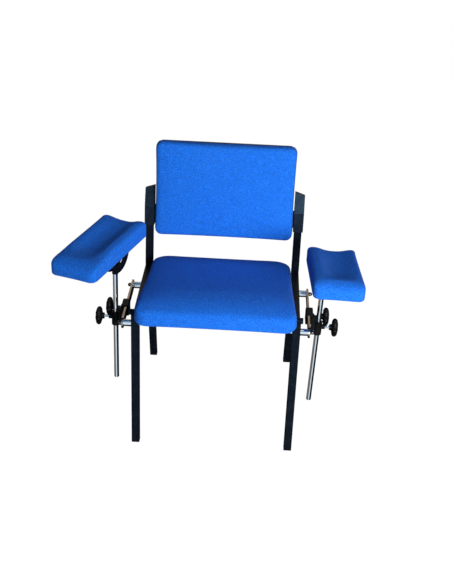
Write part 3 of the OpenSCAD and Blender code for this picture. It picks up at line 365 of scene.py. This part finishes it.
# Seat: foam under a stretched cover, wider in front, with a front edge that falls over the cross tube,
# and dished where a person sits. The tube and the rail behind it tilt it back. As with each cushion,
# a block's cover is blown up a little by a cloth simulation that holds its foot, and then it is shaped.
def stuffed(name, width, depth, height, front_corner, rear_corner, rim, foot, cell, give, shape, place,
            body):
    bpy.ops.object.select_all(action="DESELECT")
    bpy.ops.mesh.primitive_cube_add(size=1)
    cushion = bpy.context.active_object
    cushion.name = name
    cushion.data.name = name
    bpy.ops.object.mode_set(mode="EDIT")
    bpy.ops.mesh.select_mode(type="EDGE")
    bpy.ops.mesh.select_all(action="SELECT")
    bpy.ops.transform.resize(value=(width, depth, height))
    bpy.ops.transform.translate(value=(0, 0, height / 2))
    bpy.ops.object.mode_set(mode="OBJECT")

    def pick(test):
        for face in cushion.data.polygons:
            face.select = False
        for corner in cushion.data.vertices:
            corner.select = False
        for edge in cushion.data.edges:
            ends = [cushion.data.vertices[i].co for i in edge.vertices]
            edge.select = test(*ends)

    near = 1e-5
    for test, radius, steps in (
            (lambda p, q: abs(p.z - q.z) > height / 2 and p.y < 0, front_corner, 8),
            (lambda p, q: abs(p.z - q.z) > height / 2 and p.y > depth / 4, rear_corner, 8),
            (lambda p, q: p.z > height - near and q.z > height - near, rim, 6),
            (lambda p, q: p.z < near and q.z < near, foot, 3)):
        pick(test)
        bpy.ops.object.mode_set(mode="EDIT")
        bpy.ops.mesh.bevel(offset=radius, segments=steps, profile=0.5, affect="EDGES")
        bpy.ops.object.mode_set(mode="OBJECT")
    remesh = cushion.modifiers.new("remesh", "REMESH")
    remesh.mode = "VOXEL"
    remesh.voxel_size = cell
    bpy.ops.object.modifier_apply(modifier="remesh")

    held = cushion.vertex_groups.new(name="held")
    held.add([v.index for v in cushion.data.vertices if v.co.z < 2.5 * cell], 1.0, "REPLACE")
    before = [v.co.copy() for v in cushion.data.vertices]
    blown = cushion.modifiers.new("blown", "CLOTH")
    blown.settings.quality = 5
    blown.settings.mass = 0.3
    blown.settings.tension_stiffness = 15
    blown.settings.compression_stiffness = 15
    blown.settings.bending_stiffness = 0.5
    blown.settings.use_pressure = True
    blown.settings.uniform_pressure_force = 4
    blown.settings.effector_weights.gravity = 0
    blown.settings.vertex_group_mass = "held"
    blown.collision_settings.use_collision = False
    last_frame = 20
    blown.point_cache.frame_start = 1
    blown.point_cache.frame_end = last_frame
    for frame_number in range(1, last_frame + 1):
        scene.frame_set(frame_number)
    result = cushion.evaluated_get(bpy.context.evaluated_depsgraph_get())
    pull = np.array([v.co - old for v, old in zip(result.data.vertices, before)])
    cushion.modifiers.remove(blown)
    scene.frame_set(1)
    # The cover moves by no more than it can give, and its movement is evened out over the foam.
    pull *= np.minimum(1.0, give / np.maximum(np.linalg.norm(pull, axis=1), 1e-9))[:, None]
    ends = np.array([edge.vertices[:] for edge in cushion.data.edges])
    joined = np.bincount(ends.ravel(), minlength=len(pull))[:, None]
    smoothing_passes = 24
    for _ in range(smoothing_passes):
        around = np.zeros_like(pull)
        np.add.at(around, ends[:, 0], pull[ends[:, 1]])
        np.add.at(around, ends[:, 1], pull[ends[:, 0]])
        pull = (pull + around / joined) / 2
    for v, old, move in zip(cushion.data.vertices, before, pull):
        v.co = old + Vector(move)
    cushion.vertex_groups.clear()
    for v in cushion.data.vertices:
        v.co = shape(*v.co)
    finer = cushion.modifiers.new("finer", "SUBSURF")
    finer.levels = 1
    bpy.ops.object.modifier_apply(modifier="finer")
    cushion.matrix_world = place
    bpy.ops.object.transform_apply(location=True, rotation=True, scale=True)
    bpy.ops.object.mode_set(mode="EDIT")
    bpy.ops.mesh.select_all(action="SELECT")
    bpy.ops.mesh.normals_make_consistent(inside=False)
    bpy.ops.object.mode_set(mode="OBJECT")
    bpy.ops.object.shade_smooth()
    cushion.data.materials.append(cloth)
    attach(cushion, body)
    return cushion


def moved(x, y, z):
    return Matrix.Translation((x, y, z))


def turned(angle, axis):
    return Matrix.Rotation(radians(angle), 4, axis)


def seat_shape(x, y, z):
    half_width, half_depth, height = 0.2415, 0.238, 0.0465
    swell, hollow, front_fall, fall_start, draw, taper = 0.006, 0.0035, 0.022, 0.070, 0.005, 0.0352
    dish_middle, dish_reach = 0.03, 0.13
    across, along = min(abs(x / half_width), 1), min(abs(y / half_depth), 1)
    top = 1 + (swell * (1 - across ** 2) * (1 - along ** 2)) / height
    dish = hollow * (1 - across ** 2) * max(0, 1 - ((y - dish_middle) / dish_reach) ** 2)
    fall = front_fall * (max(-fall_start - y, 0) / (half_depth - fall_start)) ** 2.6
    share = min(max(z / height, 0), 1)
    x = x * (1 - draw / half_width * (1 - along ** 2)) * (1 - taper * y / half_depth)
    y = y * (1 - draw / half_depth * (1 - across ** 2))
    return Vector((x, y, z * top - dish * share - fall))


ground = moved(0.028193, -0.207294, 0)
seat_plane = ground @ moved(0, 0, 0.478) @ turned(-5.924, "X") @ moved(0, 0, 0.0095)
seat = stuffed("seat_pad", width=0.483, depth=0.476, height=0.0465, front_corner=0.042,
               rear_corner=0.060, rim=0.015, foot=0.005, cell=0.006, give=0.003, shape=seat_shape,
               place=seat_plane @ moved(0, 0.145, 0.0015), body="frame")
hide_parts("seat_cushion")


# Back: a flatter cushion of the same cloth, drawn in a little between its corners, on a board that is
# screwed to the two sleeves.
def back_shape(x, y, z):
    half_width, half_height, thickness = 0.231, 0.1615, 0.042
    swell, draw = 0.005, 0.0025
    across, along = min(abs(x / half_width), 1), min(abs(y / half_height), 1)
    crown = swell * (1 - across ** 2) * (1 - along ** 2)
    x = x * (1 - draw / half_width * (1 - along ** 2))
    y = y * (1 - draw / half_height * (1 - across ** 2))
    return Vector((x, y, z * (1 + crown / thickness)))


back_plane = ground @ moved(0, 0.395, 0.458) @ turned(-4.3, "X") @ moved(0, 0, -0.019)
back = stuffed("back_pad", width=0.462, depth=0.323, height=0.0415, front_corner=0.024,
               rear_corner=0.024, rim=0.013, foot=0.005, cell=0.006, give=0.003, shape=back_shape,
               place=back_plane @ moved(0, 0.0015, 0.289) @ turned(90, "X"), body="frame")
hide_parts("back_cushion")


# Arm pads: a firm cushion each, with a gutter for the forearm between two ridges, flat and rounded off
# at the wrist, its cover stretched straight over the board's edge. Each arm stands as it was left, and
# is drawn with x pointing outward, so the left one is drawn as a mirror image.
arms = {}
bar_aside, bar_height, socket_aside, head_height = 0.2872, 0.439, 0.032, 0.032
for side, outward, along, lean, post_top, swivel, tilt in (
        ("left", -1, 0.076, 0, 0.602, 20, -2.5), ("right", 1, 0.082, 2, 0.550, 1.5, 7)):
    clamp = ground @ Matrix.Scale(outward, 4, (1, 0, 0)) @ moved(bar_aside, along, bar_height)
    post = clamp @ moved(socket_aside, 0, 0) @ turned(lean, "Y")
    head = post @ moved(0, 0, post_top - bar_height) @ turned(swivel, "Z")
    pivot = head @ moved(0, 0, head_height) @ turned(-tilt, "X")
    arms[side] = {"clamp": clamp, "post": post, "pivot": pivot}


def eased(t):
    return (1 - cos(pi * min(max(t, 0), 1))) / 2


def pad_shape(x, y, z, middle):
    half_width, half_length, height = 0.079, 0.175, 0.0475
    ridge, trough, swell, draw, foot_draw = 0.003, 0.0145, 0.0015, 0.003, 0.040
    nose_fall, nose_length, flat_wrist, gutter_start = 0.015, 0.050, 0.030, 0.110
    shallower, shallow_from, shallow_over = 0.45, 0.03, 0.145
    ridge_inward, ridge_outward = 0.68, 0.95
    across, along = min(abs(x / half_width), 1), min(abs(y / half_length), 1)
    share = min(max(z / height, 0), 1)
    depth = eased((y + half_length - flat_wrist) / gutter_start)
    depth *= 1 - shallower * eased((y - shallow_from) / shallow_over)
    reach = (ridge_inward if x < middle else ridge_outward) * half_width
    rise = abs(x - middle) / (reach + (middle if x < middle else -middle))
    gutter = (ridge - trough * (1 - eased(rise ** 1.3))) * depth
    crown = swell * (1 - across ** 2) * (1 - along ** 2)
    past_wrist = min(max((nose_length - half_length - y) / nose_length, 0), 1)
    nose = nose_fall * past_wrist ** 2.2 * z / height
    x = x * (1 - draw / half_width * (1 - along ** 2) * share) * (1 - foot_draw * (1 - share))
    y = y * (1 - draw / half_length * (1 - across ** 2))
    return Vector((x, y, z * (1 + (crown + gutter) / height) - nose))


for side, places in arms.items():
    middle = -0.006 if side == "left" else 0.006
    pad = stuffed("pad_" + side, width=0.158, depth=0.350, height=0.0485, front_corner=0.024,
                  rear_corner=0.020, rim=0.011, foot=0.003, cell=0.0045, give=0.002,
                  shape=lambda x, y, z: pad_shape(x, y, z, middle),
                  place=places["pivot"] @ moved(0.0265, -0.043, 0.0145), body="pad_" + side)
    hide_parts("arm_pad_" + side)


# Bright metal: the flat bars, their spacers, bolts and domed nuts, the posts and the clamping screws
# are steel, chrome-plated, with fine lengthwise lines from polishing and some finger marks. The bars
# are browner and duller, and the nuts are drawn darker: a painted dark reflection on the same chrome.
chrome = finish_of("plating", tone=(0.80, 0.82, 0.84, 1), worn=(0.60, 0.58, 0.56, 1), wear=0.5,
                   grain=1500.0, smooth=0.05, dull=0.14, relief=0.000003, metallic=1.0)
# Darkened plating for the domed nuts: a painted dark reflection, not a different metal.
nut_chrome_painted_dark_reflection = finish_of("plating_with_painted_dark_reflection", tone=(0.10, 0.10, 0.11, 1), worn=(0.05, 0.05, 0.05, 1), wear=0.5,
                        grain=1500.0, smooth=0.16, dull=0.30, relief=0.000006, metallic=1.0)
bar_steel = finish_of("bar_plating", tone=(0.34, 0.29, 0.25, 1), worn=(0.20, 0.16, 0.13, 1), wear=0.7,
                      grain=900.0, smooth=0.14, dull=0.28, relief=0.000008, metallic=1.0)
for side in arms:
    for name in ("rail_spacers_", "rail_bolts_", "post_", "rail_screw_", "post_screw_"):
        dress(name + side, chrome)
    dress("rail_nuts_" + side, nut_chrome_painted_dark_reflection)
    dress("rail_bar_" + side, bar_steel, round_edge=0.0008)


# Clamps, tilt heads and brackets: cast or cut steel in black enamel, thinner and worn at the edges.
# The clamps hook over the bars, the heads sit on the posts, and the brackets carry the pads' boards.
enamel = finish_of("clamp_coating", tone=(0.0035, 0.0038, 0.0046, 1), worn=(0.022, 0.022, 0.024, 1),
                   wear=0.45, grain=1100.0, smooth=0.32, dull=0.52, relief=0.00005, specular=0.06)
for side in arms:
    dress("clamp_body_" + side, enamel, round_edge=0.001)
    dress("tilt_head_" + side, enamel, round_edge=0.0008)
    dress("tilt_bracket_" + side, enamel, round_edge=0.0004)


# Knobs: gloss black plastic with six soft lobes, domed in front, on a short hub over the screw. Each
# is a sphere pressed to a lens whose rim is drawn out into lobes.
knob_gloss = finish_of("knob_gloss", tone=(0.0035, 0.0038, 0.0046, 1), worn=(0.018, 0.019, 0.022, 1),
                       wear=0.5, grain=1300.0, smooth=0.30, dull=0.48, relief=0.000006, specular=0.10)
rim_radius, lobe_height, lobes, fullness = 0.0262, 0.0028, 6, 0.45
lens_middle, front_half, rear_half = 0.0165, 0.0105, 0.0095
hub_radius, hub_length = 0.010, 0.012
half_bar, rail_screw_reach, rail_knob_back, rail_knob_drop = 0.003, 0.0364, 0.034, 0.005
post_radius, post_screw_reach, post_knob_drop = 0.008, 0.028, 0.022
by_bar = moved(half_bar + rail_screw_reach, rail_knob_back, -rail_knob_drop) @ turned(90, "Y")
by_post = moved(post_radius + post_screw_reach, 0, -post_knob_drop) @ turned(90, "Y")
for side, places in arms.items():
    for name, seat_of in (
            ("rail_knob_", places["clamp"] @ by_bar), ("post_knob_", places["post"] @ by_post)):
        bpy.ops.object.select_all(action="DESELECT")
        bpy.ops.mesh.primitive_uv_sphere_add(segments=96, ring_count=32, radius=1)
        knob = bpy.context.active_object
        knob.name = name + side + "_grip"
        knob.data.name = knob.name
        for v in knob.data.vertices:
            around = atan2(v.co.y, v.co.x)
            out = hypot(v.co.x, v.co.y) ** fullness
            lobed = rim_radius + lobe_height * cos(lobes * around + pi)
            v.co = Vector((cos(around) * lobed * out, sin(around) * lobed * out,
                           lens_middle + (front_half if v.co.z > 0 else rear_half) * v.co.z))
        bpy.ops.mesh.primitive_cylinder_add(vertices=48, radius=hub_radius, depth=hub_length,
                                            location=(0, 0, hub_length / 2))
        hub = bpy.context.active_object
        ease = hub.modifiers.new("ease", "BEVEL")
        ease.width = 0.0012
        ease.segments = 3
        ease.limit_method = "ANGLE"
        bpy.ops.object.modifier_apply(modifier="ease")
        knob.select_set(True)
        bpy.context.view_layer.objects.active = knob
        bpy.ops.object.join()
        knob.matrix_world = seat_of
        bpy.ops.object.transform_apply(location=True, rotation=True, scale=True)
        bpy.ops.object.mode_set(mode="EDIT")
        bpy.ops.mesh.select_all(action="SELECT")
        bpy.ops.mesh.normals_make_consistent(inside=False)
        bpy.ops.object.mode_set(mode="OBJECT")
        bpy.ops.object.shade_smooth_by_angle(angle=radians(40))
        knob.data.materials.append(knob_gloss)
        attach(knob, name + side)
        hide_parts(name + side)


# Small screws and bolts: zinc-plated under the seat and pads and in the sleeves' ears, blacked in the
# rear cover and in the tilt brackets.
zinc = finish_of("zinc", tone=(0.50, 0.51, 0.53, 1), worn=(0.30, 0.29, 0.27, 1), wear=0.7, grain=1800.0,
                 smooth=0.24, dull=0.48, relief=0.00004, metallic=1.0)
for name in ("seat_bolts", "back_screws", "pad_screws_left", "pad_screws_right"):
    dress(name, zinc, round_edge=0.0004)
blacked = finish_of("blacked_steel", tone=(0.010, 0.010, 0.011, 1), worn=(0.05, 0.05, 0.05, 1), wear=0.5,
                    grain=1800.0, smooth=0.3, dull=0.5, relief=0.00004, metallic=0.6)
for name in ("cover_screws", "tilt_pivot_bolt_left", "tilt_pivot_bolt_right", "tilt_lock_bolt_left",
             "tilt_lock_bolt_right"):
    dress(name, blacked, round_edge=0.0004)
